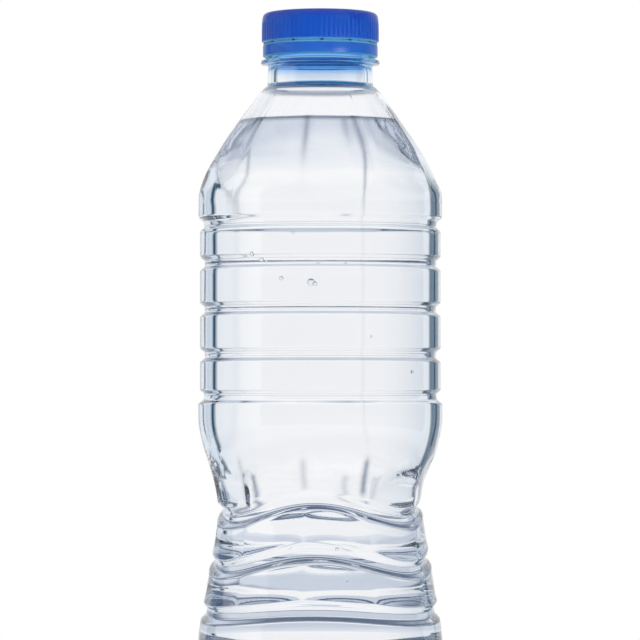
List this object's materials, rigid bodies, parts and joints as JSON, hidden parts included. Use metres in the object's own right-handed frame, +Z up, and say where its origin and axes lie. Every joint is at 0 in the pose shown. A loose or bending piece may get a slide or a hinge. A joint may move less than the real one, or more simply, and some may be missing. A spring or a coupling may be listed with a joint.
{
  "type": "water bottle",
  "caption": "Clear half-litre plastic water bottle, full of still water and sealed by a blue ribbed screw cap, with a ringed body and a wavy drawn-in grip.",
  "frame": {"origin": "centre of the ring the bottle stands on", "axes": "+Z up along the bottle, -Y towards the camera of the picture"},
  "size_m": [0.063, 0.0628, 0.2168],
  "materials": {
    "clear_plastic": "glossy",
    "water": "glossy",
    "blue_plastic": "satin"
  },
  "bodies": {
    "root": {"bottle": "clear_plastic", "water": "water", "screw_cap": "blue_plastic"}
  },
  "joints": []
}
